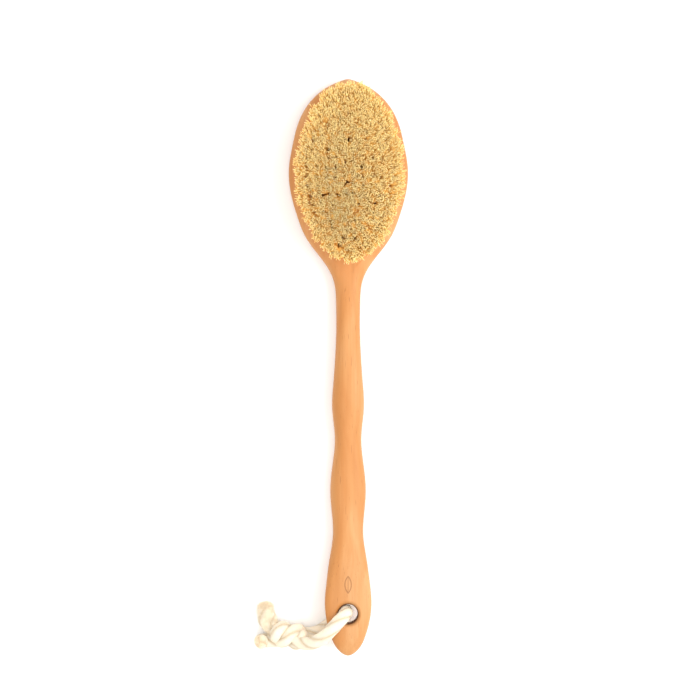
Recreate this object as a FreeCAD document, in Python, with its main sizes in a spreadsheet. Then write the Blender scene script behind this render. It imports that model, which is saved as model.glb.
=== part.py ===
"""Long-handled body dry brush, in millimetres.

Frame: the brush lies on its back on z = 0 with the bristles up, +Y runs from the handle's end to the
head, +X is across, and the origin is under the middle of the wood. The cord loop lies on z = 0 too.
"""
import FreeCAD
import Part
import Sketcher
import math
import os

from FreeCAD import Placement, Rotation, Vector

os.makedirs("parts", exist_ok=True)
doc = FreeCAD.newDocument("body_dry_brush")

# ---------------------------------------------------------------- driving dimensions
DIMENSIONS = [
    ("face_height", 16.0, "brush face above the flat back"),
    ("face_start", 62.0, "where the planed brush face may begin"),
    ("overall_length", 400.0, "whole wooden body"),
    ("hang_hole_radius", 6.5, "hole for the cord"),
    ("hang_hole_inset", 29.7, "hole centre from the handle's end"),
    ("hang_rim_round", 4.0, "rounding of both rims of the hang hole"),
    ("hang_top", 22.5, "top of the wood at the hang hole"),
    ("hang_bottom", 10.5, "underside of the wood at the hang hole"),
    ("field_middle", 132.9, "middle of the bristle field along the brush"),
    ("root_half_width", 26.5, "outer ring of tuft holes, across"),
    ("root_half_length", 50.5, "outer ring of tuft holes, along"),
    ("root_ring_step", 5.3, "from one ring of holes to the next"),
    ("tip_half_width", 32.6, "outer ring of tuft tips, across"),
    ("tip_half_length", 56.6, "outer ring of tuft tips, along"),
    ("tip_ring_step", 6.5, "from one ring of tips to the next"),
    ("tip_pitch", 6.45, "from one tip to the next within a ring"),
    ("core_root_reach", 15.2, "first and last hole of the middle row, from the field's middle"),
    ("core_tip_reach", 16.0, "first and last tip of the middle row, from the field's middle"),
    ("tuft_hole_radius", 1.9, "blind tuft hole"),
    ("tuft_hole_depth", 7.5, "blind tuft hole"),
    ("tuft_root_radius", 1.85, "folded bristles in their hole"),
    ("tuft_tip_radius", 2.8, "splayed bristles at the trimmed end"),
    ("tuft_free_length", 22.0, "bristles above the wood"),
    ("tuft_trim_crown", 1.2, "doming of a tuft's trimmed end"),
    ("anchor_width", 4.2, "flat wire anchor, wider than its hole so that it bites"),
    ("anchor_height", 2.2, "flat wire anchor, along the hole"),
    ("anchor_thickness", 0.5, "flat wire anchor"),
    ("cord_diameter", 9.0, "soft twisted cotton cord"),
    ("knot_half_length", 11.5, "overhand knot, along the loop"),
    ("knot_radius", 9.2, "overhand knot, across"),
    ("knot_rounding", 8.0, "rounded ends of the knot"),
]

sheet = doc.addObject("Spreadsheet::Sheet", "Dimensions")
for line, (alias, value, note) in enumerate(DIMENSIONS, start=1):
    sheet.set(f"A{line}", alias)
    sheet.set(f"B{line}", str(value))
    sheet.set(f"C{line}", note)
    sheet.setAlias(f"B{line}", alias)
doc.recompute()


def dim(alias):
    """A driving dimension, read back from the sheet."""
    return float(getattr(sheet, alias))


def bind(target, **expressions):
    """Binds properties of target to cells of the sheet."""
    for name, expression in expressions.items():
        target.setExpression(name, expression)


# Half the wood's length, and the middle of the hang hole along Y.
END = dim("overall_length") / 2
HOLE_Y = dim("hang_hole_inset") - END

# ---------------------------------------------------------------- the carved wooden body
# The outline and the side profile, from the head's tip to the handle's end. Each section is a
# superellipse: (y, half width, half thickness, height of its middle, squareness of its corners).
SECTIONS = [
    (199.9, 1.1, 1.6, 8.0, 2.0),
    (199.2, 3.5, 4.0, 8.0, 2.1),
    (197.6, 7.6, 6.5, 8.0, 2.4),
    (193.6, 15.4, 8.5, 8.0, 3.2),
    (187.3, 23.2, 8.8, 8.0, 4.2),
    (179.0, 29.8, 8.8, 8.0, 4.6),
    (168.0, 35.0, 8.8, 8.0, 4.6),
    (154.0, 38.5, 8.8, 8.0, 4.6),
    (138.0, 41.1, 8.8, 8.0, 4.6),
    (120.0, 39.7, 8.8, 8.0, 4.6),
    (104.0, 35.2, 8.8, 8.0, 4.6),
    (91.0, 30.0, 8.8, 8.0, 4.2),
    (80.5, 22.9, 8.7, 8.0, 3.6),
    (70.0, 15.0, 8.3, 8.0, 2.9),
    (59.0, 9.9, 7.7, 8.3, 2.3),
    (45.0, 8.4, 7.3, 9.8, 2.1),
    (27.0, 8.2, 7.0, 11.6, 2.0),
    (8.0, 8.9, 7.3, 11.8, 2.0),
    (-12.0, 10.3, 8.1, 11.4, 2.1),
    (-28.0, 11.1, 8.6, 10.6, 2.1),
    (-50.0, 9.2, 7.8, 9.0, 2.1),
    (-68.0, 10.8, 8.0, 8.2, 2.1),
    (-86.0, 12.4, 8.2, 8.1, 2.2),
    (-104.0, 11.1, 7.7, 8.9, 2.2),
    (-116.0, 10.5, 7.3, 10.1, 2.2),
    (-134.0, 13.0, 6.7, 13.0, 2.4),
    (-150.0, 15.1, 6.2, 15.6, 2.8),
    (-164.0, 16.1, 6.0, 16.5, 3.1),
    (-176.0, 14.7, 6.0, 16.5, 3.1),
    (-186.0, 12.0, 5.6, 16.0, 2.8),
    (-193.0, 9.0, 4.6, 15.3, 2.5),
    (-197.4, 5.4, 3.1, 14.8, 2.2),
    (-199.3, 2.7, 1.8, 14.6, 2.0),
    (-199.9, 1.0, 0.8, 14.6, 2.0),
]
SECTION_POINTS = 24


def superellipse(angle, across, along, squareness):
    """The point of |u/across|^n + |v/along|^n = 1 at this parameter."""
    cosine, sine = math.cos(angle), math.sin(angle)
    u = math.copysign(abs(cosine) ** (2 / squareness), cosine) * across
    v = math.copysign(abs(sine) ** (2 / squareness), sine) * along
    return u, v


def section_wire(y, half_width, half_thickness, middle, squareness):
    """One smooth closed section of the wood, across Y."""
    points = []
    for i in range(SECTION_POINTS):
        angle = 2 * math.pi * i / SECTION_POINTS
        x, z = superellipse(angle, half_width, half_thickness, squareness)
        points.append(Vector(x, y, middle + z))
    curve = Part.BSplineCurve()
    curve.interpolate(Points=points, PeriodicFlag=True)
    return Part.Wire(curve.toShape())


blank = doc.addObject("Part::Feature", "CarvedBlank")
blank.Shape = Part.makeLoft([section_wire(*section) for section in SECTIONS], True, False)

# Planed flat: the back, on which the brush lies, and the face that the bristles are set in.
below = doc.addObject("Part::Box", "BelowBack")
bind(below, Length="200", Width="Dimensions.overall_length * 1.2", Height="20")
below.Placement.Base = Vector(-100, -0.6 * dim("overall_length"), -20)

above = doc.addObject("Part::Box", "AboveFace")
bind(above, Length="200", Width="Dimensions.overall_length / 2", Height="20")
above.Placement.Base = Vector(-100, dim("face_start"), dim("face_height"))


def origin_plane(body, role):
    """One of a body's own origin planes."""
    return next(item for item in body.Origin.OriginFeatures if item.Role == role)


# How a sketch numbers the ends and the centre of a side.
START_POINT, END_POINT, CENTRE_POINT = 1, 2, 3


def profile(body, name, corners, arcs=None):
    """A closed sketch on the body's XZ plane, its corners pinned by expressions of the sheet.

    corners is a list of (across, up), and arcs gives the centre of each side that is an arc, by the
    number of the corner where that side starts.
    """
    arcs = arcs or {}
    sketch = body.newObject("Sketcher::SketchObject", name)
    sketch.AttachmentSupport = [(origin_plane(body, "XZ_Plane"), "")]
    sketch.MapMode = "FlatFace"

    def place(pair):
        return Vector(*(float(sketch.evalExpression(text)) for text in pair), 0)

    places = [place(pair) for pair in corners]
    for i, start in enumerate(places):
        end = places[(i + 1) % len(places)]
        if i in arcs:
            sketch.addGeometry(short_arc(place(arcs[i]), start, end), False)
        else:
            sketch.addGeometry(Part.LineSegment(start, end), False)
    for i, start in enumerate(places):
        following = (i + 1) % len(places)
        first, last = side_ends(sketch, i, start)
        joined, _ = side_ends(sketch, following, places[following])
        sketch.addConstraint(Sketcher.Constraint("Coincident", i, last, following, joined))
        hold(sketch, "DistanceX", i, first, corners[i][0], start.x)
        hold(sketch, "DistanceY", i, first, corners[i][1], start.y)
        if i in arcs:
            hold(sketch, "DistanceX", i, CENTRE_POINT, arcs[i][0], place(arcs[i]).x)
    return sketch


def short_arc(centre, start, end):
    """The anticlockwise arc of under half a turn round centre that joins these two points."""
    if (start - centre).cross(end - centre).z < 0:
        start, end = end, start
    circle = Part.Circle(centre, Vector(0, 0, 1), (start - centre).Length)
    return Part.ArcOfCircle(circle, circle.parameter(start), circle.parameter(end))


def side_ends(sketch, side, start):
    """Which of a side's two ends comes first round the profile: an arc may run backwards."""
    geometry = sketch.Geometry[side]
    backwards = (geometry.StartPoint - start).Length > (geometry.EndPoint - start).Length
    return (END_POINT, START_POINT) if backwards else (START_POINT, END_POINT)


def hold(sketch, kind, side, point, expression, value):
    """Holds one coordinate of a point of a profile where the sheet's expression says."""
    if expression == "0":
        axis = -2 if kind == "DistanceX" else -1
        sketch.addConstraint(Sketcher.Constraint("PointOnObject", side, point, axis))
        return
    held = sketch.addConstraint(Sketcher.Constraint(kind, -1, 1, side, point, value))
    sketch.setExpression(f"Constraints[{held}]", expression)


def revolved(name, corners, arcs=None):
    """A PartDesign body: its profile turned once round Z."""
    body = doc.addObject("PartDesign::Body", name)
    sketch = profile(body, name + "Profile", corners, arcs)
    turn = body.newObject("PartDesign::Revolution", name + "Turned")
    turn.Profile = sketch
    turn.ReferenceAxis = (sketch, ["V_Axis"])
    turn.Angle = 360
    sketch.Visibility = False
    return body


# The hang hole with both rims rounded over, as one turned cutter.
hole_cutter = revolved(
    "HangHoleCutter",
    [
        ("0", "Dimensions.hang_bottom - 8"),
        ("Dimensions.hang_hole_radius + Dimensions.hang_rim_round", "Dimensions.hang_bottom - 8"),
        ("Dimensions.hang_hole_radius + Dimensions.hang_rim_round", "Dimensions.hang_bottom"),
        ("Dimensions.hang_hole_radius", "Dimensions.hang_bottom + Dimensions.hang_rim_round"),
        ("Dimensions.hang_hole_radius", "Dimensions.hang_top - Dimensions.hang_rim_round"),
        ("Dimensions.hang_hole_radius + Dimensions.hang_rim_round", "Dimensions.hang_top"),
        ("Dimensions.hang_hole_radius + Dimensions.hang_rim_round", "Dimensions.hang_top + 8"),
        ("0", "Dimensions.hang_top + 8"),
    ],
    {
        2: (
            "Dimensions.hang_hole_radius + Dimensions.hang_rim_round",
            "Dimensions.hang_bottom + Dimensions.hang_rim_round",
        ),
        4: (
            "Dimensions.hang_hole_radius + Dimensions.hang_rim_round",
            "Dimensions.hang_top - Dimensions.hang_rim_round",
        ),
    },
)
hole_cutter.Placement.Base = Vector(0, HOLE_Y, 0)

# ---------------------------------------------------------------- one tuft, its anchor and its hole
# Each is made once, with the brush face at z = 0 and its axis along Z, and then copied to every seat.
ROOT = "-Dimensions.tuft_hole_depth"
TRIMMED_EDGE = "Dimensions.tuft_free_length - Dimensions.tuft_trim_crown"
CROWN_CENTRE = (
    "Dimensions.tuft_free_length - (Dimensions.tuft_tip_radius ^ 2 + Dimensions.tuft_trim_crown ^ 2)"
    " / (2 * Dimensions.tuft_trim_crown)"
)

tuft = revolved(
    "Tuft",
    [
        ("0", ROOT),
        ("Dimensions.tuft_root_radius", ROOT),
        ("Dimensions.tuft_root_radius", "0"),
        ("Dimensions.tuft_tip_radius", TRIMMED_EDGE),
        ("0", "Dimensions.tuft_free_length"),
    ],
    {3: ("0", CROWN_CENTRE)},
)

anchor = doc.addObject("PartDesign::Body", "Anchor")
anchor_outline = profile(
    anchor,
    "AnchorOutline",
    [
        ("-Dimensions.anchor_width / 2", ROOT),
        ("Dimensions.anchor_width / 2", ROOT),
        ("Dimensions.anchor_width / 2", ROOT + " + Dimensions.anchor_height"),
        ("-Dimensions.anchor_width / 2", ROOT + " + Dimensions.anchor_height"),
    ],
)
anchor_strip = anchor.newObject("PartDesign::Pad", "AnchorStrip")
anchor_strip.Profile = anchor_outline
anchor_strip.SideType = "Symmetric"
bind(anchor_strip, Length="Dimensions.anchor_thickness")

DRILL_CLEARANCE = 3.0
drill = doc.addObject("Part::Cylinder", "TuftDrill")
bind(drill, Radius="Dimensions.tuft_hole_radius")
bind(drill, Height=f"Dimensions.tuft_hole_depth + {DRILL_CLEARANCE}")
drill.Placement.Base = Vector(0, 0, -dim("tuft_hole_depth"))
doc.recompute()

# ---------------------------------------------------------------- where the tufts are seated
RINGS = 5
FIELD_SQUARENESS = 1.85
FINE_STEPS = 1440


def ring_angles(half_width, half_length, pitch, phase):
    """Parameters of evenly spaced places round an oval ring, the same left and right."""
    angles = [math.pi / 2 + 2 * math.pi * i / FINE_STEPS for i in range(FINE_STEPS + 1)]
    places = [superellipse(angle, half_width, half_length, FIELD_SQUARENESS) for angle in angles]
    travelled = [0.0]
    for before, after in zip(places, places[1:]):
        travelled.append(travelled[-1] + math.dist(before, after))
    count = round(travelled[-1] / pitch)
    chosen = []
    for i in range(count):
        target = travelled[-1] * (i + phase) / count
        nearest = min(range(FINE_STEPS), key=lambda step: abs(travelled[step] - target))
        chosen.append(angles[nearest])
    return chosen


def seat(root, tip):
    """Placement of one tuft, from its root and tip in the field's own plan."""
    lean = math.dist(root, tip)
    rise = math.sqrt(dim("tuft_free_length") ** 2 - lean**2)
    axis = Vector(tip[0] - root[0], tip[1] - root[1], rise)
    along_ring = Vector(-root[1], root[0], 0) if root != (0, 0) else Vector(1, 0, 0)
    place = Vector(root[0], dim("field_middle") + root[1], dim("face_height"))
    return Placement(place, Rotation(along_ring, Vector(), axis, "ZXY"))


def ring_seats(ring):
    """The seats of one oval ring, counted from the outside."""
    root_inset = ring * dim("root_ring_step")
    root_size = [dim("root_half_width") - root_inset, dim("root_half_length") - root_inset]
    tip_inset = ring * dim("tip_ring_step")
    tip_size = [dim("tip_half_width") - tip_inset, dim("tip_half_length") - tip_inset]
    phase = 0.5 * (ring % 2)
    return [
        seat(
            superellipse(angle, *root_size, FIELD_SQUARENESS),
            superellipse(angle, *tip_size, FIELD_SQUARENESS),
        )
        for angle in ring_angles(*tip_size, dim("tip_pitch"), phase)
    ]


def core_seats():
    """The single row of tufts down the middle."""
    gaps = round(2 * dim("core_tip_reach") / dim("tip_pitch"))
    shares = [2 * i / gaps - 1 for i in range(gaps + 1)]
    return [
        seat((0, share * dim("core_root_reach")), (0, share * dim("core_tip_reach")))
        for share in shares
    ]


def copies(master, seats):
    """Copies of a master shape at these seats, as one compound."""
    shapes = []
    for place in seats:
        shape = master.Shape.copy()
        shape.Placement = place.multiply(shape.Placement)
        shapes.append(shape)
    return Part.Compound(shapes)


def feature(name, shape):
    """A document object that holds a finished shape."""
    made = doc.addObject("Part::Feature", name)
    made.Shape = shape
    return made


def cut(name, base, tool):
    """A boolean cut of two document objects."""
    made = doc.addObject("Part::Cut", name)
    made.Base = base
    made.Tool = tool
    return made


FIELDS = [(f"ring_{ring + 1}", ring_seats(ring)) for ring in range(RINGS)]
FIELDS.append(("core", core_seats()))

sub_parts = []
all_seats = []
for field_name, seats in FIELDS:
    all_seats += seats
    strips = feature(f"anchors_{field_name}", copies(anchor, seats))
    bundles = feature(f"Bundles_{field_name}", copies(tuft, seats))
    tufts = cut(f"tufts_{field_name}", bundles, strips)
    sub_parts += [tufts, strips]
    print(f"tufts_{field_name}: {len(seats)} tufts")

drills = feature("TuftDrills", copies(drill, all_seats))
flat_backed = cut("FlatBacked", blank, below)
planed = cut("Planed", flat_backed, above)
holed = cut("Holed", planed, hole_cutter)
sub_parts.append(cut("brush_body", holed, drills))

# ---------------------------------------------------------------- the hanging cord
# Hand-chosen points of the doubled cord: from the knot up over the rim of the hang hole, down through
# the hole, and back beneath the handle's end to the knot.
CORD_ROUTE = [
    (-36.6, -189.6, 12.9),
    (-32.0, -191.4, 16.2),
    (-25.3, -190.8, 21.0),
    (-18.2, -186.9, 25.4),
    (-12.2, -180.9, 27.3),
    (-5.7, -173.8, 27.7),
    (-1.1, -169.2, 21.3),
    (-1.1, -169.2, 11.1),
    (-5.7, -173.6, 4.7),
    (-12.8, -180.2, 4.7),
    (-20.4, -185.2, 4.7),
    (-28.4, -187.0, 4.9),
    (-36.2, -186.6, 6.2),
]
TAIL_UP_ROUTE = [
    (-47.5, -183.2, 9.0),
    (-53.4, -180.9, 6.8),
    (-57.3, -173.9, 4.9),
    (-57.6, -165.7, 4.8),
]
TAIL_STUB_ROUTE = [
    (-47.5, -191.6, 5.8),
    (-56.6, -191.5, 4.8),
    (-63.3, -191.4, 10.6),
]
ARC_SHARE = 0.45


def corner_arc(before, corner, after):
    """The arc that rounds one corner of a route, as (start, halfway, end, radius)."""
    back, ahead = before - corner, after - corner
    turn = math.pi - back.getAngle(ahead)
    radius = ARC_SHARE * min(back.Length, ahead.Length) / math.tan(turn / 2)
    reach = radius * math.tan(turn / 2)
    back.normalize()
    ahead.normalize()
    inward = (back + ahead).normalize()
    halfway = corner + inward * (radius / math.cos(turn / 2) - radius)
    return corner + back * reach, halfway, corner + ahead * reach, radius


def route_wire(route):
    """Straight runs joined by tangent arcs through these corners, and the arcs' radii."""
    corners = [Vector(*point) for point in route]
    edges, radii = [], []
    here = corners[0]
    for before, corner, after in zip(corners, corners[1:], corners[2:]):
        start, halfway, end, radius = corner_arc(before, corner, after)
        edges.append(Part.LineSegment(here, start).toShape())
        edges.append(Part.Arc(start, halfway, end).toShape())
        here = end
        radii.append(radius)
    edges.append(Part.LineSegment(here, corners[-1]).toShape())
    return Part.Wire(edges), radii


def cord(name, route):
    """A round cord swept along its route."""
    wire, radii = route_wire(route)
    spine = feature(name + "_Spine", wire)
    section = doc.addObject("Part::Circle", name + "_Section")
    bind(section, Radius="Dimensions.cord_diameter / 2")
    heading = Vector(*route[1]) - Vector(*route[0])
    section.Placement = Placement(Vector(*route[0]), Rotation(Vector(0, 0, 1), heading))
    sweep = doc.addObject("Part::Sweep", name)
    sweep.Sections = [section]
    sweep.Spine = (spine, [f"Edge{i + 1}" for i in range(len(wire.Edges))])
    sweep.Solid = True
    doc.recompute()
    expected = math.pi * (dim("cord_diameter") / 2) ** 2 * wire.Length
    print(
        f"{name}: {wire.Length:.1f} mm long, volume {sweep.Shape.Volume / expected:.4f} of section"
        f" times length, arc radii {[round(radius, 1) for radius in radii]}"
    )
    return sweep


hang_cord = cord("hang_cord", CORD_ROUTE)
tail_up = cord("cord_tail_frayed", TAIL_UP_ROUTE)
tail_stub = cord("cord_tail_stub", TAIL_STUB_ROUTE)

KNOT_END = "Dimensions.knot_half_length"
KNOT_SIDE = "Dimensions.knot_radius"
KNOT_ROUND = "Dimensions.knot_rounding"
knot_blob = revolved(
    "KnotBlob",
    [
        ("0", f"-{KNOT_END}"),
        (f"{KNOT_SIDE} - {KNOT_ROUND}", f"-{KNOT_END}"),
        (KNOT_SIDE, f"{KNOT_ROUND} - {KNOT_END}"),
        (KNOT_SIDE, f"{KNOT_END} - {KNOT_ROUND}"),
        (f"{KNOT_SIDE} - {KNOT_ROUND}", KNOT_END),
        ("0", KNOT_END),
    ],
    {
        1: (f"{KNOT_SIDE} - {KNOT_ROUND}", f"{KNOT_ROUND} - {KNOT_END}"),
        3: (f"{KNOT_SIDE} - {KNOT_ROUND}", f"{KNOT_END} - {KNOT_ROUND}"),
    },
)
KNOT_LIES_ALONG = Vector(-1.0, 0.14, 0)
knot_blob.Placement = Placement(
    Vector(-41.0, -186.9, dim("knot_radius") + 0.1), Rotation(Vector(0, 0, 1), KNOT_LIES_ALONG)
)
cords_in_knot = doc.addObject("Part::MultiFuse", "CordsInKnot")
cords_in_knot.Shapes = [hang_cord, tail_up, tail_stub]
cord_knot = cut("cord_knot", knot_blob, cords_in_knot)
sub_parts += [hang_cord, tail_up, tail_stub, cord_knot]

# ---------------------------------------------------------------- checks, then one file per sub-part
doc.recompute()
for item in doc.Objects:
    failed = [state for state in item.State if state in ("Invalid", "Error")]
    if failed:
        raise RuntimeError(f"{item.Name} did not recompute: {failed}")
for item in sub_parts:
    shape = item.Shape
    if shape.isNull() or not shape.isValid() or not shape.Solids:
        raise RuntimeError(f"{item.Name} has no valid solid")
    item.Label = item.Name
    shape.exportStep(f"parts/{item.Label}.step")
    box = shape.BoundBox
    print(
        f"{item.Label}: {len(shape.Solids)} solids, {shape.Volume:.0f} mm3,"
        f" x {box.XMin:.1f}..{box.XMax:.1f} y {box.YMin:.1f}..{box.YMax:.1f}"
        f" z {box.ZMin:.1f}..{box.ZMax:.1f}"
    )
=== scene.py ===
"""Looks of the long-handled body dry brush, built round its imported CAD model. All lengths are in metres."""
import math

import bpy
import numpy as np
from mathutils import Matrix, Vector


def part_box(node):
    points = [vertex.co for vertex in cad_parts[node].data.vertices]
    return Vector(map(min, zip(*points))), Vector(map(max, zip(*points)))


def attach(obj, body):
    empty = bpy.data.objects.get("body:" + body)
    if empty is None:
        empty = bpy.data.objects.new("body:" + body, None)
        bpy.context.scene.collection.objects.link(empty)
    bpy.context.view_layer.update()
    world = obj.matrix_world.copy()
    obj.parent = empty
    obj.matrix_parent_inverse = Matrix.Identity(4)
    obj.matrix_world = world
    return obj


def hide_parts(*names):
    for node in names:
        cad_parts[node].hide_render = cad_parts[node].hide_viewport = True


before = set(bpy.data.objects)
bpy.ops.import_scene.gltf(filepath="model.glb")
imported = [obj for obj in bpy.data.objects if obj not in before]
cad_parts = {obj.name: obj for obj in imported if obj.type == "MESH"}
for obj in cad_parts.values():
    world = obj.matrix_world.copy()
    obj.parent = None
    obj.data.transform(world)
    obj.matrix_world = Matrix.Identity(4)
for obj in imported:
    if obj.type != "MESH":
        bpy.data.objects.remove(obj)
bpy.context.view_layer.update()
TAU = 2 * math.pi
random = np.random.default_rng(7)


# ---------------------------------------------------------------- camera
# It looks straight down on the bristles, with the head at the top of the picture.
VIEW_ACROSS = 0.473
CAMERA_RISE = 1.2
SENSOR = 36.0
WOOD_HEIGHT = 0.016
camera = bpy.data.objects.new("Camera", bpy.data.cameras.new("Camera"))
camera.data.sensor_width = SENSOR
camera.data.lens = SENSOR * CAMERA_RISE / VIEW_ACROSS
camera.location = (-0.0042, 0.0171, WOOD_HEIGHT + CAMERA_RISE)
bpy.context.scene.collection.objects.link(camera)
bpy.context.scene.camera = camera
bpy.context.scene.view_settings.view_transform = "Standard"


# ---------------------------------------------------------------- small tools
def linear(code):
    """A hex colour as linear RGBA."""
    values = [int(code[i : i + 2], 16) / 255 for i in (0, 2, 4)]
    return [v / 12.92 if v <= 0.04045 else ((v + 0.055) / 1.055) ** 2.4 for v in values] + [1.0]


def normalised(vectors):
    return vectors / np.maximum(np.linalg.norm(vectors, axis=-1, keepdims=True), 1e-12)


def mesh_object(name, points, faces, values=None, smooth=True):
    """A mesh object from points, faces and named values at its points. smooth may be one flag per face."""
    mesh = bpy.data.meshes.new(name)
    mesh.from_pydata(points.tolist(), [], faces)
    for label, numbers in (values or {}).items():
        layer = mesh.attributes.new(label, "FLOAT", "POINT")
        layer.data.foreach_set("value", np.asarray(numbers, np.float32))
    flags = np.broadcast_to(np.asarray(smooth, bool), len(faces))
    mesh.polygons.foreach_set("use_smooth", flags)
    made = bpy.data.objects.new(name, mesh)
    bpy.context.scene.collection.objects.link(made)
    return made


def wear(piece, material):
    """Gives a piece this one material."""
    piece.data.materials.clear()
    piece.data.materials.append(material)


class Nodes:
    """A material's node tree, with short ways to add and join nodes."""

    def __init__(self, name):
        self.material = bpy.data.materials.new(name)
        self.material.use_nodes = True
        self.tree = self.material.node_tree
        self.shader = self.tree.nodes["Principled BSDF"]

    def feed(self, socket, value):
        """Links an output to the socket, or sets the socket to a number or colour."""
        if isinstance(value, bpy.types.NodeSocket):
            self.tree.links.new(value, socket)
        else:
            socket.default_value = value

    def ramp(self, factor, stops):
        """A colour ramp: stops are (position, hex colour or grey level)."""
        node = self.tree.nodes.new("ShaderNodeValToRGB")
        self.feed(node.inputs[0], factor)
        ramp = node.color_ramp
        while len(ramp.elements) < len(stops):
            ramp.elements.new(0.5)
        for element, (place, colour) in zip(ramp.elements, stops):
            element.position = place
            element.color = linear(colour) if isinstance(colour, str) else (colour, colour, colour, 1)
        return node.outputs[0]

    def mix(self, factor, first, second, blend="MIX"):
        node = self.tree.nodes.new("ShaderNodeMix")
        node.data_type = "RGBA"
        node.blend_type = blend
        self.feed(node.inputs[0], factor)
        self.feed(node.inputs[6], linear(first) if isinstance(first, str) else first)
        self.feed(node.inputs[7], linear(second) if isinstance(second, str) else second)
        return node.outputs[2]

    def math(self, operation, first, second=0.0):
        node = self.tree.nodes.new("ShaderNodeMath")
        node.operation = operation
        self.feed(node.inputs[0], first)
        self.feed(node.inputs[1], second)
        return node.outputs[0]

    def places(self, scale):
        """The piece's own coordinates, stretched."""
        coordinates = self.tree.nodes.new("ShaderNodeTexCoord").outputs["Object"]
        node = self.tree.nodes.new("ShaderNodeMapping")
        self.feed(node.inputs["Vector"], coordinates)
        node.inputs["Scale"].default_value = scale
        return node.outputs[0]

    def noise(self, scale, detail=3.0, roughness=0.5, stretch=(1, 1, 1), distortion=0.0):
        node = self.tree.nodes.new("ShaderNodeTexNoise")
        self.feed(node.inputs["Vector"], self.places(stretch))
        node.inputs["Scale"].default_value = scale
        node.inputs["Detail"].default_value = detail
        node.inputs["Roughness"].default_value = roughness
        node.inputs["Distortion"].default_value = distortion
        return node.outputs[0]

    def distance(self, place):
        """How far the point is from an upright line, on which place is its foot."""
        node = self.tree.nodes.new("ShaderNodeVectorMath")
        node.operation = "DISTANCE"
        self.feed(node.inputs[0], self.places((1, 1, 0)))
        node.inputs[1].default_value = place
        return node.outputs["Value"]

    def value(self, label):
        """One of the named values at the piece's points."""
        node = self.tree.nodes.new("ShaderNodeAttribute")
        node.attribute_name = label
        return node.outputs["Fac"]

    def bump(self, height, distance, strength=1.0, normal=None):
        node = self.tree.nodes.new("ShaderNodeBump")
        self.feed(node.inputs["Height"], height)
        node.inputs["Distance"].default_value = distance
        node.inputs["Strength"].default_value = strength
        if normal is not None:
            self.feed(node.inputs["Normal"], normal)
        return node.outputs[0]

    def surface(self, colour, roughness, normal=None, **constants):
        shader = self.shader
        self.feed(shader.inputs["Base Color"], colour)
        self.feed(shader.inputs["Roughness"], roughness)
        if normal is not None:
            self.feed(shader.inputs["Normal"], normal)
        for name, value in constants.items():
            shader.inputs[name.replace("_", " ")].default_value = value
        return self.material


# ---------------------------------------------------------------- the hanging cord
CORD_DIAMETER = 0.009
# The cord's own route, as the CAD model has it: from the knot over the rim, through the hole and back.
LOOP_ROUTE = [
    (-0.0366, -0.1896, 0.0129),
    (-0.0320, -0.1914, 0.0162),
    (-0.0253, -0.1908, 0.0210),
    (-0.0182, -0.1869, 0.0254),
    (-0.0122, -0.1809, 0.0273),
    (-0.0057, -0.1738, 0.0277),
    (-0.0011, -0.1692, 0.0213),
    (-0.0011, -0.1692, 0.0111),
    (-0.0057, -0.1736, 0.0047),
    (-0.0128, -0.1802, 0.0047),
    (-0.0204, -0.1852, 0.0047),
    (-0.0284, -0.1870, 0.0049),
    (-0.0362, -0.1866, 0.0062),
]
FRAYED_ROUTE = [
    (-0.0450, -0.1852, 0.0090),
    (-0.0534, -0.1822, 0.0068),
    (-0.0573, -0.1749, 0.0049),
    (-0.0576, -0.1667, 0.0048),
]
STUB_ROUTE = [
    (-0.0455, -0.1905, 0.0062),
    (-0.0556, -0.1912, 0.0050),
    (-0.0602, -0.1912, 0.0072),
    (-0.0612, -0.1910, 0.0118),
]


def route_line(points, fineness=24):
    """The smooth line of a route: a quadratic NURBS spline with the route's points to guide it."""
    curve = bpy.data.curves.new("route", "CURVE")
    curve.dimensions = "3D"
    curve.resolution_u = fineness
    spline = curve.splines.new("NURBS")
    spline.points.add(len(points) - 1)
    for control, place in zip(spline.points, points):
        control.co = (*place, 1)
    spline.order_u = 3
    spline.use_endpoint_u = True
    holder = bpy.data.objects.new("route", curve)
    mesh = bpy.data.meshes.new_from_object(holder)
    line = np.array([vertex.co for vertex in mesh.vertices])
    bpy.data.meshes.remove(mesh)
    bpy.data.curves.remove(curve)
    return line


def evenly(line, step):
    """The line again with points a step apart, and how far along each one is."""
    lengths = np.linalg.norm(np.diff(line, axis=0), axis=1)
    along = np.concatenate([[0], np.cumsum(lengths)])
    places = np.linspace(0, along[-1], int(along[-1] / step) + 2)
    return np.stack([np.interp(places, along, line[:, k]) for k in range(3)], axis=1), places


def carried_frames(line):
    """Tangent and two side vectors at each point, carried along without twisting."""
    tangents = normalised(np.gradient(line, axis=0))
    side = np.cross(tangents[0], (0.3, 0.2, 1.0))
    sides = []
    for tangent in tangents:
        side = side - tangent * side.dot(tangent)
        side = side / np.linalg.norm(side)
        sides.append(side)
    sides = np.array(sides)
    return tangents, sides, np.cross(tangents, sides)


def grid_faces(rows, columns):
    """Quads of a tube: rows of points, each row closed round."""
    row, column = np.meshgrid(np.arange(rows - 1), np.arange(columns), indexing="ij")
    after = (column + 1) % columns
    corners = [row * columns + column, row * columns + after, (row + 1) * columns + after]
    corners.append((row + 1) * columns + column)
    return np.stack(corners, axis=-1).reshape(-1, 4).tolist()


STRAND_LAY = 0.042  # along the cord for one turn of its three strands
STRAND_RELIEF = 0.115
YARNS = 36
YARN_RELIEF = 0.022
ROPE_SIDES = 90
ROPE_STEP = 0.0005


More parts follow.
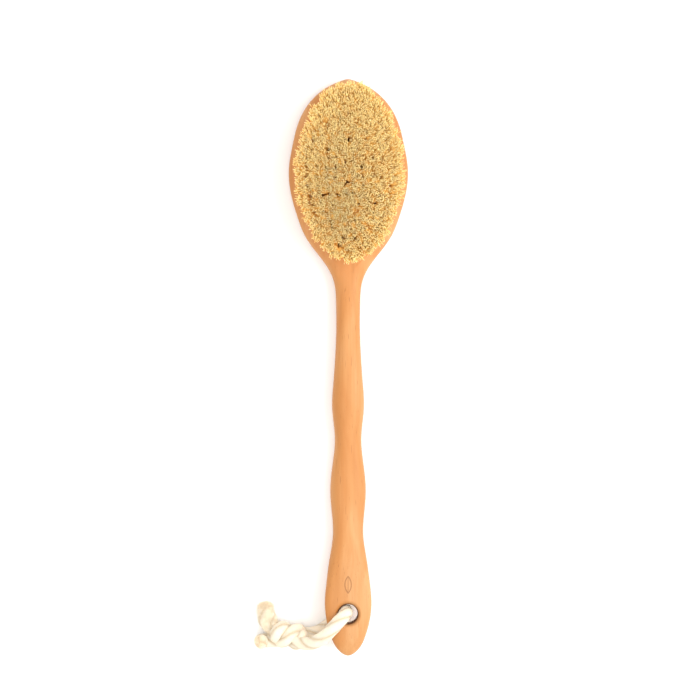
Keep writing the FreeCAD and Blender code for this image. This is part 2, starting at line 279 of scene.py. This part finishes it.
def rope(line, phase=0.0, swell=lambda share: 1.0 + 0 * share, flatten=1.0, floor=0.0):
    """The soft twisted cord along a line, as one skin: points, faces and the lightness its colour is painted
    with at each point, lower in the grooves as painted shade.

    swell gives the cord's thickness along it, and flatten squeezes it in height.
    """
    line, along = evenly(line, ROPE_STEP)
    tangents, sides, ups = carried_frames(line)
    rows = len(line)
    turn = TAU * np.arange(ROPE_SIDES) / ROPE_SIDES
    lay = turn[None, :] - phase - TAU * along[:, None] / STRAND_LAY
    lay = lay + 0.25 * np.sin(along * 190 + phase)[:, None]
    valley = (1 - np.abs(np.cos(1.5 * lay))) ** 2
    yarn = np.abs(np.sin(YARNS / 2 * (turn[None, :] + TAU * along[:, None] / 0.017)))
    lump = 0.03 * np.sin(along * 410 + phase * 3)[:, None] * np.cos(turn * 2 + phase)[None, :]
    lump = lump + 0.025 * np.sin(along * 870 + phase)[:, None] * np.sin(turn * 3)[None, :]
    shape = 1 - STRAND_RELIEF * valley - YARN_RELIEF * (1 - yarn) + lump
    reach = CORD_DIAMETER / 2 * 1.02 * shape * swell(along / along[-1])[:, None]
    ring = sides[:, None, :] * np.cos(turn)[None, :, None] + ups[:, None, :] * np.sin(turn)[None, :, None]
    offset = ring * reach[:, :, None]
    offset[:, :, 2] *= flatten
    skin = line[:, None, :] + offset
    skin[:, :, 2] = np.maximum(skin[:, :, 2], floor)
    flat = skin.reshape(-1, 3)
    faces = grid_faces(rows, ROPE_SIDES)
    last_row = (rows - 1) * ROPE_SIDES
    start_cap, end_cap = len(flat), len(flat) + 1
    for i in range(ROPE_SIDES):
        after = (i + 1) % ROPE_SIDES
        faces.append([after, i, start_cap])
        faces.append([last_row + i, last_row + after, end_cap])
    # Painted shade: the colour's lightness is lowered in the grooves between strands and between yarns, and
    # the two end caps' middles get 0.2, painted shade in the cut face.
    painted_skin_lightness = (1 - 0.85 * valley) * (0.75 + 0.25 * yarn)
    points = np.concatenate([flat, [line[0], line[-1]]])
    return points, faces, np.concatenate([painted_skin_lightness.reshape(-1), [0.2, 0.2]]), True


def fibres(roots, directions, lengths, curl, thickness=0.00006):
    """Fine loose fibres: three-sided hairs in two bends, for one mesh."""
    count = len(roots)
    drift = random.normal(0, 1, (count, 3)) * (lengths * curl)[:, None]
    middle = roots + directions * (lengths * 0.5)[:, None] + drift * 0.5
    tips = roots + directions * lengths[:, None] + drift + random.normal(0, 1, (count, 3)) * (
        lengths * curl * 0.6
    )[:, None]
    return hairs([roots, middle, tips], np.full(count, thickness), [1.0, 0.8, 0.35])


def hairs(stations, radii, tapers, sides=3):
    """Tubes through stations, a list of arrays with one point per hair: their points and faces."""
    count = len(radii)
    axis = normalised(stations[-1] - stations[0])
    reference = np.where(np.abs(axis[:, 2:3]) > 0.9, [[1.0, 0, 0]], [[0, 0, 1.0]])
    side = normalised(np.cross(axis, reference))
    other = np.cross(axis, side)
    phase = random.uniform(0, TAU, count)
    rings = []
    for station, taper in zip(stations, tapers):
        for i in range(sides):
            angle = (TAU * i / sides + phase)[:, None]
            reach = (radii * taper)[:, None]
            rings.append(station + reach * (side * np.cos(angle) + other * np.sin(angle)))
    points = np.stack(rings, axis=1).reshape(-1, 3)
    rows = len(stations)
    offsets = np.arange(count)[:, None, None] * rows * sides
    quads = (np.array(grid_faces(rows, sides))[None] + offsets).reshape(-1, 4).tolist()
    cap = [(rows - 1) * sides + i for i in range(sides)]
    caps = (np.array([cap])[None] + offsets).reshape(-1, sides).tolist()
    return points, quads + caps


def joined(parts):
    """One set of points, faces, painted lightness values and smooth flags from several."""
    points, faces, painted_lightnesses, smooth, first = [], [], [], [], 0
    for part_points, part_faces, part_lightnesses, part_smooth in parts:
        points.append(part_points)
        faces += [[first + i for i in face] for face in part_faces]
        painted_lightnesses.append(part_lightnesses)
        smooth += [part_smooth] * len(part_faces)
        first += len(part_points)
    return np.concatenate(points), faces, np.concatenate(painted_lightnesses), smooth


def fuzz(line, count, length=0.0012, spread=0.9, swell=1.0):
    """Short fibres standing off the cord's surface all along it."""
    line, _ = evenly(line, ROPE_STEP)
    tangents, sides, ups = carried_frames(line)
    at = random.integers(1, len(line) - 1, count)
    angle = random.uniform(0, TAU, count)
    out = sides[at] * np.cos(angle)[:, None] + ups[at] * np.sin(angle)[:, None]
    roots = line[at] + out * (CORD_DIAMETER * 0.48 * swell) * random.uniform(0.9, 1.0, (count, 1))
    forward = tangents[at] * random.normal(0, spread, (count, 1))
    sideways = np.cross(out, tangents[at]) * random.normal(0, spread, (count, 1))
    heading = normalised(out * 0.45 + forward + sideways)
    lengths = length * random.uniform(0.4, 1.4, count)
    points, faces = fibres(roots, heading, lengths, 0.2)
    # These fibres take 0.9 on the painted lightness scale, near its lit end.
    return points, faces, np.full(len(points), 0.9), False


def tuft_of_fibres(line, count, length, reach, sunk):
    """The frayed end of the cord: fibres that leave its cut face and part a little."""
    line, _ = evenly(line, ROPE_STEP)
    tangents, sides, ups = carried_frames(line)
    angle = random.uniform(0, TAU, count)
    radius = reach * np.sqrt(random.uniform(0, 1, count))
    out = sides[-1] * np.cos(angle)[:, None] + ups[-1] * np.sin(angle)[:, None]
    back = sunk * (0.35 + 0.65 * (radius / reach) ** 2)
    roots = line[-1] - tangents[-1] * back[:, None] + out * radius[:, None] * 0.92
    parting = out * (radius / reach * 0.5)[:, None]
    heading = normalised(tangents[-1] + parting + random.normal(0, 0.28, (count, 3)))
    lengths = length * random.uniform(0.5, 1.2, count)
    points, faces = fibres(roots, heading, lengths, 0.12, 0.00009)
    # These fibres take 1.0, the lit end of the painted lightness scale.
    return points, faces, np.full(len(points), 1.0), False


KNOT_PITCH = 0.0195
KNOT_RADIUS = 0.0047
KNOT_TURNS = 0.62
KNOT_ALONG = (-0.990, 0.139, 0.0)
TUCK_FROM = 0.70  # the share of each half of a wrap after which its end turns inwards


def knot_wraps():
    """The two cords that wrap side by side round the knot. Their ends turn inwards and are hidden."""
    low, high = (np.array(corner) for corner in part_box("cord_knot"))
    middle = (low + high) / 2
    along = np.array(KNOT_ALONG)
    up = np.array([0.0, 0.0, 1.0])
    across = np.cross(along, up)
    lines = []
    for start in (0.0, math.pi):
        line = []
        for share in np.linspace(-1, 1, 181):
            angle = share * TAU * KNOT_TURNS
            inward = max(0.0, (abs(share) - TUCK_FROM) / (1 - TUCK_FROM))
            reach = KNOT_RADIUS * (1 - 0.55 * inward)
            advance = KNOT_PITCH * angle / TAU * (1 - 0.28 * inward)
            turned = angle + start
            line.append(
                middle + along * advance + reach * (-math.cos(turned) * up + math.sin(turned) * across)
            )
        lines.append(np.array(line))
    return lines


def cotton():
    """Undyed cotton: off-white with a soft nap, and painted shade that makes it darker and warmer in the
    grooves.
    """
    n = Nodes("cotton_cord")
    mottle = n.noise(420, 4, 0.6)
    # Painted shade: darker, warmer colours where the painted lightness is low, in the grooves and the cut
    # faces.
    painted_groove_shade = n.ramp(n.value("painted_lightness"), [(0.0, "BDA27E"), (0.35, "D0C0A4"), (0.75, "DAD1C0"), (1.0, "FAEBD0")])
    colour = n.mix(n.ramp(mottle, [(0.4, 0.0), (0.8, 0.3)]), painted_groove_shade, "C7B69A")
    threads = n.noise(2600, 3, 0.6)
    normal = n.bump(threads, 0.0001, 0.5)
    rough = n.ramp(mottle, [(0.3, 0.82), (0.7, 0.95)])
    return n.surface(colour, rough, normal, Sheen_Weight=0.1, Sheen_Roughness=0.5, IOR=1.45)


cotton_material = cotton()


FLOOR_GAP = 0.0002  # the least height of any part of the cord
SKIN_FLOOR = 0.0003


def cord_piece(name, node, parts):
    """One visible piece of the cord in place of its CAD solid."""
    points, faces, painted_lightnesses, smooth = joined(parts)
    points[:, 2] = np.maximum(points[:, 2], FLOOR_GAP)
    piece = mesh_object(name, points, faces, {"painted_lightness": painted_lightnesses}, smooth)
    wear(piece, cotton_material)
    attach(piece, "hang_loop")
    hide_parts(node)
    return piece


loop_line = route_line(LOOP_ROUTE)
loop = cord_piece("cord_loop", "hang_cord", [rope(loop_line, 0.6), fuzz(loop_line, 3000)])
wraps_parts = []
for number, wrap_line in enumerate(knot_wraps()):
    wraps_parts += [rope(wrap_line, number + 0.4, floor=SKIN_FLOOR), fuzz(wrap_line, 1500)]
wraps = cord_piece("cord_knot_wraps", "cord_knot", wraps_parts)


def domed(share, start):
    """1 along most of the cord, closing to a rounded end after this share of it."""
    return np.sqrt(np.maximum(1 - 0.96 * np.clip((share - start) / (1 - start), 0, 1) ** 2, 0.0))


def fraying(share):
    return (1.0 + 0.48 * np.clip((share - 0.15) / 0.45, 0, 1)) * domed(share, 0.62)


def blunt(share):
    return (1.0 + 0.16 * share) * domed(share, 0.86)


frayed_line = route_line(FRAYED_ROUTE)
frayed = cord_piece(
    "cord_frayed_end",
    "cord_tail_frayed",
    [
        rope(frayed_line, 2.0, fraying, 0.72, SKIN_FLOOR),
        fuzz(frayed_line, 2600, 0.0018, swell=1.3),
        tuft_of_fibres(frayed_line, 1500, 0.0036, 0.0040, 0.0026),
    ],
)
stub_line = route_line(STUB_ROUTE)
stub = cord_piece(
    "cord_cut_end",
    "cord_tail_stub",
    [
        rope(stub_line, 0.4, blunt, 1.0, SKIN_FLOOR),
        fuzz(stub_line, 900),
        tuft_of_fibres(stub_line, 900, 0.0014, 0.0040, 0.0016),
    ],
)


# ---------------------------------------------------------------- wood
HOLE_PLACE = (0.0, -0.1703, 0.0)
HOLE_SHADE_REACH = 0.02  # the distance from the hole's middle that counts as 1 in the ramp of the painted shade round the hole

# A small plain leaf is scorched into the handle. Its outline lies where two round arcs meet.
LEAF_Y = -0.150
LEAF_ARC_OFFSET = 0.0062
LEAF_ARC = 0.0088
LEAF_LINE = 0.0004
LEAF_DEPTH_OF_TONE = 0.55
LEAF_UNDERSIDE = 0.016


def leaf_mark(n):
    """Where the leaf is scorched in, from 0 to 1, on the upper side only."""
    reach = [n.distance((side * LEAF_ARC_OFFSET, LEAF_Y, 0)) for side in (-1, 1)]
    furthest = n.math("MAXIMUM", *reach)
    from_edge = n.math("ABSOLUTE", n.math("SUBTRACT", furthest, LEAF_ARC - LEAF_LINE))
    outline = n.math("LESS_THAN", from_edge, LEAF_LINE)
    split = n.tree.nodes.new("ShaderNodeSeparateXYZ")
    n.feed(split.inputs[0], n.places((1, 1, 1)))
    vein = n.math("LESS_THAN", n.math("ABSOLUTE", split.outputs[0]), LEAF_LINE * 0.6)
    inside = n.math("LESS_THAN", furthest, LEAF_ARC)
    lines = n.math("MAXIMUM", outline, n.math("MULTIPLY", vein, inside))
    upper = n.math("GREATER_THAN", split.outputs[2], LEAF_UNDERSIDE)
    return n.math("MULTIPLY", n.math("MULTIPLY", lines, upper), LEAF_DEPTH_OF_TONE)


def wood():
    """Pale beech with a light wax: straight grain along Y, fine pores, warm patches, and a dark ring of
    painted shade round the hang hole.
    """
    n = Nodes("beech_wood")
    patches = n.noise(26, 3, 0.55, (1, 0.3, 1), 0.6)
    bands = n.noise(85, 3, 0.55, (1, 0.03, 1), 0.4)
    streaks = n.noise(420, 4, 0.6, (1, 0.02, 1))
    flecks = n.noise(1500, 2, 0.5, (1, 0.045, 1))
    base = n.ramp(patches, [(0.34, "BC7838"), (0.5, "C68A4F"), (0.66, "D09C68")])
    grain = n.mix(n.ramp(bands, [(0.38, 0.0), (0.62, 0.5)]), base, "B2753A")
    fine = n.mix(n.ramp(streaks, [(0.4, 0.0), (0.75, 0.35)]), grain, "B07139")
    pored = n.mix(n.ramp(flecks, [(0.66, 0.0), (0.74, 0.5)]), fine, "844D23")
    # Painted shade: a dark brown ring round the hang hole stands in for the shaded hole wall.
    from_hole = n.math("DIVIDE", n.distance(HOLE_PLACE), HOLE_SHADE_REACH)
    hole_shade = n.ramp(from_hole, [(0.345, 1.0), (0.375, 0.35), (0.43, 0.0)])
    hole_shaded = n.mix(hole_shade, pored, "5A3014")
    colour = n.mix(leaf_mark(n), hole_shaded, "7A4A20")
    height = n.math("ADD", n.math("MULTIPLY", streaks, 0.6), n.math("MULTIPLY", flecks, 0.4))
    normal = n.bump(height, 0.00006, 0.5)
    rough = n.ramp(streaks, [(0.3, 0.5), (0.7, 0.62)])
    return n.surface(colour, rough, normal, Coat_Weight=0.06, Coat_Roughness=0.35, IOR=1.45)


wood_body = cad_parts["brush_body"]
wear(wood_body, wood())


# ---------------------------------------------------------------- anchors
def drawn_wire():
    n = Nodes("anchor_wire")
    marks = n.noise(900, 3, 0.6, (1, 1, 0.1))
    colour = n.ramp(marks, [(0.3, "B08D4A"), (0.7, "D8B873")])
    return n.surface(colour, n.ramp(marks, [(0.3, 0.3), (0.7, 0.45)]), Metallic=1.0)


wire = drawn_wire()
for node_name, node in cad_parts.items():
    if node_name.startswith("anchors_"):
        wear(node, wire)


# ---------------------------------------------------------------- bristles
def bristle():
    """Natural bristle: pale where it is trimmed, each hair a little different, and painted darker and deeper
    gold towards the root, as shade deep in the tufts.
    """
    n = Nodes("bristle")
    height = n.value("height")
    tone = n.value("tone")
    # Painted shade: the colour darkens to deep gold towards the roots and the tufts' dense middles, where
    # shade falls.
    shade = n.ramp(height, [(0.0, "F0AC48"), (0.5, "FFC05A"), (0.78, "FFD680"), (1.0, "FFEAA6")])
    darker = n.mix(n.ramp(tone, [(0.0, 0.4), (0.4, 0.0)]), shade, "F2B558")
    colour = n.mix(n.ramp(tone, [(0.6, 0.0), (1.0, 0.5)]), darker, "FFEEC2")
    bands = n.noise(900, 2, 0.5)
    return n.surface(colour, n.ramp(bands, [(0.3, 0.45), (0.7, 0.65)]), IOR=1.5)


bristle_material = bristle()


def loose_solids(node):
    """The points of each separate solid of a CAD node."""
    mesh = node.data
    places = np.array([vertex.co for vertex in mesh.vertices])
    _, welded = np.unique(np.round(places / 1e-6).astype(np.int64), axis=0, return_inverse=True)
    welded = welded.reshape(-1)
    owner = np.arange(welded.max() + 1)
    edges = welded[np.array([edge.vertices[:] for edge in mesh.edges])]
    while True:
        lowest = np.minimum(owner[edges[:, 0]], owner[edges[:, 1]])
        before = owner.copy()
        np.minimum.at(owner, edges[:, 0], lowest)
        np.minimum.at(owner, edges[:, 1], lowest)
        owner = owner[owner]
        if (owner == before).all():
            break
    groups = owner[welded]
    return [places[groups == group] for group in np.unique(groups)]


def ends_of(points):
    """The middles of a tuft's lower and upper ends, from its own points."""
    middle = points.mean(axis=0)
    _, _, directions = np.linalg.svd(points - middle, full_matrices=False)
    axis = directions[0] * np.sign(directions[0][2])
    reach = (points - middle) @ axis
    foot = middle + axis * reach.min()
    return foot, middle + axis * reach.max(), axis


HOLE_DEPTH = 0.0075
ROOT_DEPTH = 0.0012  # how far below the wood's face the hairs start
ROOT_REACH = 0.00160
TIP_REACH = 0.00335
HAIR_STATIONS = (0.0, 0.34, 0.7, 1.0)  # shares of a hair's length
HAIR_TAPERS = (0.75, 0.95, 1.0, 0.95)
HAIRS = 105
HAIR_RADIUS = 0.00029
SPLIT = 0.0008
SPLAY = 0.00065
STRAY = 0.0013
STRAY_SHARE = 0.12
FIELD_MIDDLE = 0.1329
FIELD_HALF_WIDTH = 0.0326
FIELD_HALF_LENGTH = 0.0566
RIM_LEAN = 0.0024
SIDE_LEAN = np.array((0.0011, 0.0003, 0.0))
CORE_LEAN = 0.2


def outward_lean(top):
    """How much further a tuft's tips lean than its solid: to one side, and the outer ones over the rim."""
    offset = np.array([top[0], top[1] - FIELD_MIDDLE, 0.0])
    share = math.hypot(offset[0] / FIELD_HALF_WIDTH, offset[1] / FIELD_HALF_LENGTH)
    return SIDE_LEAN + offset / max(np.linalg.norm(offset), 1e-9) * RIM_LEAN * share**4


def tuft_hairs(points, lean):
    """Stations, radii and tones of one tuft's hairs."""
    foot, top, axis = ends_of(points)
    top = top + outward_lean(top) + lean
    base = foot + axis * (HOLE_DEPTH - ROOT_DEPTH)
    side = normalised(np.cross(axis, (0.0, 1.0, 0.15)))
    other = np.cross(axis, side)
    order = np.arange(HAIRS) + 0.5
    radius = np.sqrt(order / HAIRS)
    angle = order * math.pi * (3 - math.sqrt(5)) + random.uniform(0, TAU)
    rim = side * np.cos(angle)[:, None] + other * np.sin(angle)[:, None]
    roots = base + rim * (radius * ROOT_REACH)[:, None]
    parting = random.uniform(0, math.pi)
    lobe = side * math.cos(parting) + other * math.sin(parting)
    lobe_side = np.sign(rim @ lobe)[:, None]
    stray = random.normal(0, 1, (HAIRS, 3)) * np.where(
        random.uniform(0, 1, (HAIRS, 1)) < STRAY_SHARE, STRAY, SPLAY
    )
    shortfall = np.abs(random.normal(0, 0.0005, (HAIRS, 1))) + (radius[:, None] ** 2) * 0.0007
    tips = top + rim * (radius * TIP_REACH)[:, None] + lobe * lobe_side * SPLIT + stray - axis * shortfall
    bow = random.normal(0, 0.00022, (HAIRS, 3))
    low = roots * 0.66 + tips * 0.34 + bow - (tips - base - (tips - base) @ axis[:, None] * axis) * 0.05
    high = roots * 0.30 + tips * 0.70 + bow * 0.7
    tones = np.clip(random.normal(0.5, 0.22, HAIRS) + random.normal(0, 0.1), 0, 1)
    radii = HAIR_RADIUS * random.uniform(0.75, 1.15, HAIRS)
    return [roots, low, high, tips], radii, tones


BUNDLE_SIDES = 9
BUNDLE_SHAPE = ((0.0, 0.85), (0.45, 1.12), (0.62, 1.42), (0.74, 1.12), (0.81, 0.3))
BUNDLE_JAGS = 0.05
TUFT_LEAN = 0.0006


def tuft_bundle(points, lean):
    """The dense middle of one tuft, which its outer hairs hide: points, faces and heights."""
    foot, top, axis = ends_of(points)
    base = foot + axis * (HOLE_DEPTH - ROOT_DEPTH)
    top = top + outward_lean(top) + lean
    side = normalised(np.cross(axis, (0.0, 1.0, 0.15)))
    other = np.cross(axis, side)
    turn = TAU * np.arange(BUNDLE_SIDES) / BUNDLE_SIDES + random.uniform(0, TAU)
    ring = np.cos(turn)[:, None] * side + np.sin(turn)[:, None] * other
    rows, heights = [], []
    for share, width in BUNDLE_SHAPE:
        reach = (ROOT_REACH + (TIP_REACH - ROOT_REACH) * share) * width
        uneven = random.uniform(0.85, 1.15, (BUNDLE_SIDES, 1))
        jags = random.normal(0, BUNDLE_JAGS * share**3, (BUNDLE_SIDES, 1))
        rows.append(base + (top - base) * (share + jags) + ring * reach * uneven)
        heights += [share] * BUNDLE_SIDES
    faces = grid_faces(len(rows), BUNDLE_SIDES)
    first = (len(rows) - 1) * BUNDLE_SIDES
    faces.append([first + i for i in range(BUNDLE_SIDES)])
    return np.concatenate(rows), faces, heights


def bristle_ring(node_name):
    """All the hairs of one ring of tufts, as one piece."""
    solids = loose_solids(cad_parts[node_name])
    leans = random.normal(0, TUFT_LEAN, (len(solids), 3)) * (1, 1, 0)
    if node_name == "tufts_core":
        leans[:, 1] += [(ends_of(points)[1][1] - FIELD_MIDDLE) * CORE_LEAN for points in solids]
    tufts = [tuft_hairs(points, lean) for points, lean in zip(solids, leans)]
    stations = [np.concatenate([tuft[0][k] for tuft in tufts]) for k in range(4)]
    radii = np.concatenate([tuft[1] for tuft in tufts])
    tones = np.concatenate([tuft[2] for tuft in tufts])
    points, faces = hairs(stations, radii, HAIR_TAPERS)
    heights = np.tile(np.repeat(HAIR_STATIONS, 3), len(radii))
    tones = np.repeat(tones, 3 * len(HAIR_STATIONS))
    for solid, lean in zip(solids, leans):
        bundle_points, bundle_faces, bundle_heights = tuft_bundle(solid, lean)
        faces += [[len(points) + i for i in face] for face in bundle_faces]
        points = np.concatenate([points, bundle_points])
        heights = np.concatenate([heights, bundle_heights])
        tones = np.concatenate([tones, np.full(len(bundle_points), 0.5)])
    values = {"height": heights, "tone": tones}
    piece = mesh_object(node_name.replace("tufts", "bristles"), points, faces, values, smooth=False)
    wear(piece, bristle_material)
    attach(piece, "brush")
    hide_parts(node_name)


for node_name in sorted(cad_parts):
    if node_name.startswith("tufts_"):
        bristle_ring(node_name)


# ---------------------------------------------------------------- floor and light
def floor_material():
    n = Nodes("pale_floor")
    soft = n.noise(3, 2, 0.5)
    return n.surface(n.ramp(soft, [(0.3, 0.93), (0.7, 0.95)]), 0.9, Specular_IOR_Level=0.1)


FLOOR_HALF = 3.0
SKY_STRENGTH = 1.02
LIGHTS = (  # name, place, width in metres and power in watts
    ("key", (0.80, 0.10, 0.85), 0.9, 10.5),
    ("fill", (-0.2, -0.3, 1.4), 1.0, 6.8),
)


def studio():
    """A pale floor under a white sky, with a soft light from the right and a weaker one from above."""
    corners = np.array([(-1, -1, 0), (1, -1, 0), (1, 1, 0), (-1, 1, 0)]) * FLOOR_HALF
    floor = mesh_object("floor", corners, [[0, 1, 2, 3]])
    wear(floor, floor_material())
    world = bpy.data.worlds.new("studio")
    bpy.context.scene.world = world
    world.use_nodes = True
    background = world.node_tree.nodes["Background"]
    background.inputs["Color"].default_value = (1.0, 0.985, 0.965, 1)
    background.inputs["Strength"].default_value = SKY_STRENGTH
    for name, place, size, power in LIGHTS:
        light = bpy.data.lights.new(name, "AREA")
        light.size = size
        light.energy = power
        lamp = bpy.data.objects.new(name, light)
        lamp.location = place
        lamp.rotation_euler = (Vector((0, 0, 0)) - Vector(place)).to_track_quat("-Z", "Y").to_euler()
        bpy.context.scene.collection.objects.link(lamp)


studio()
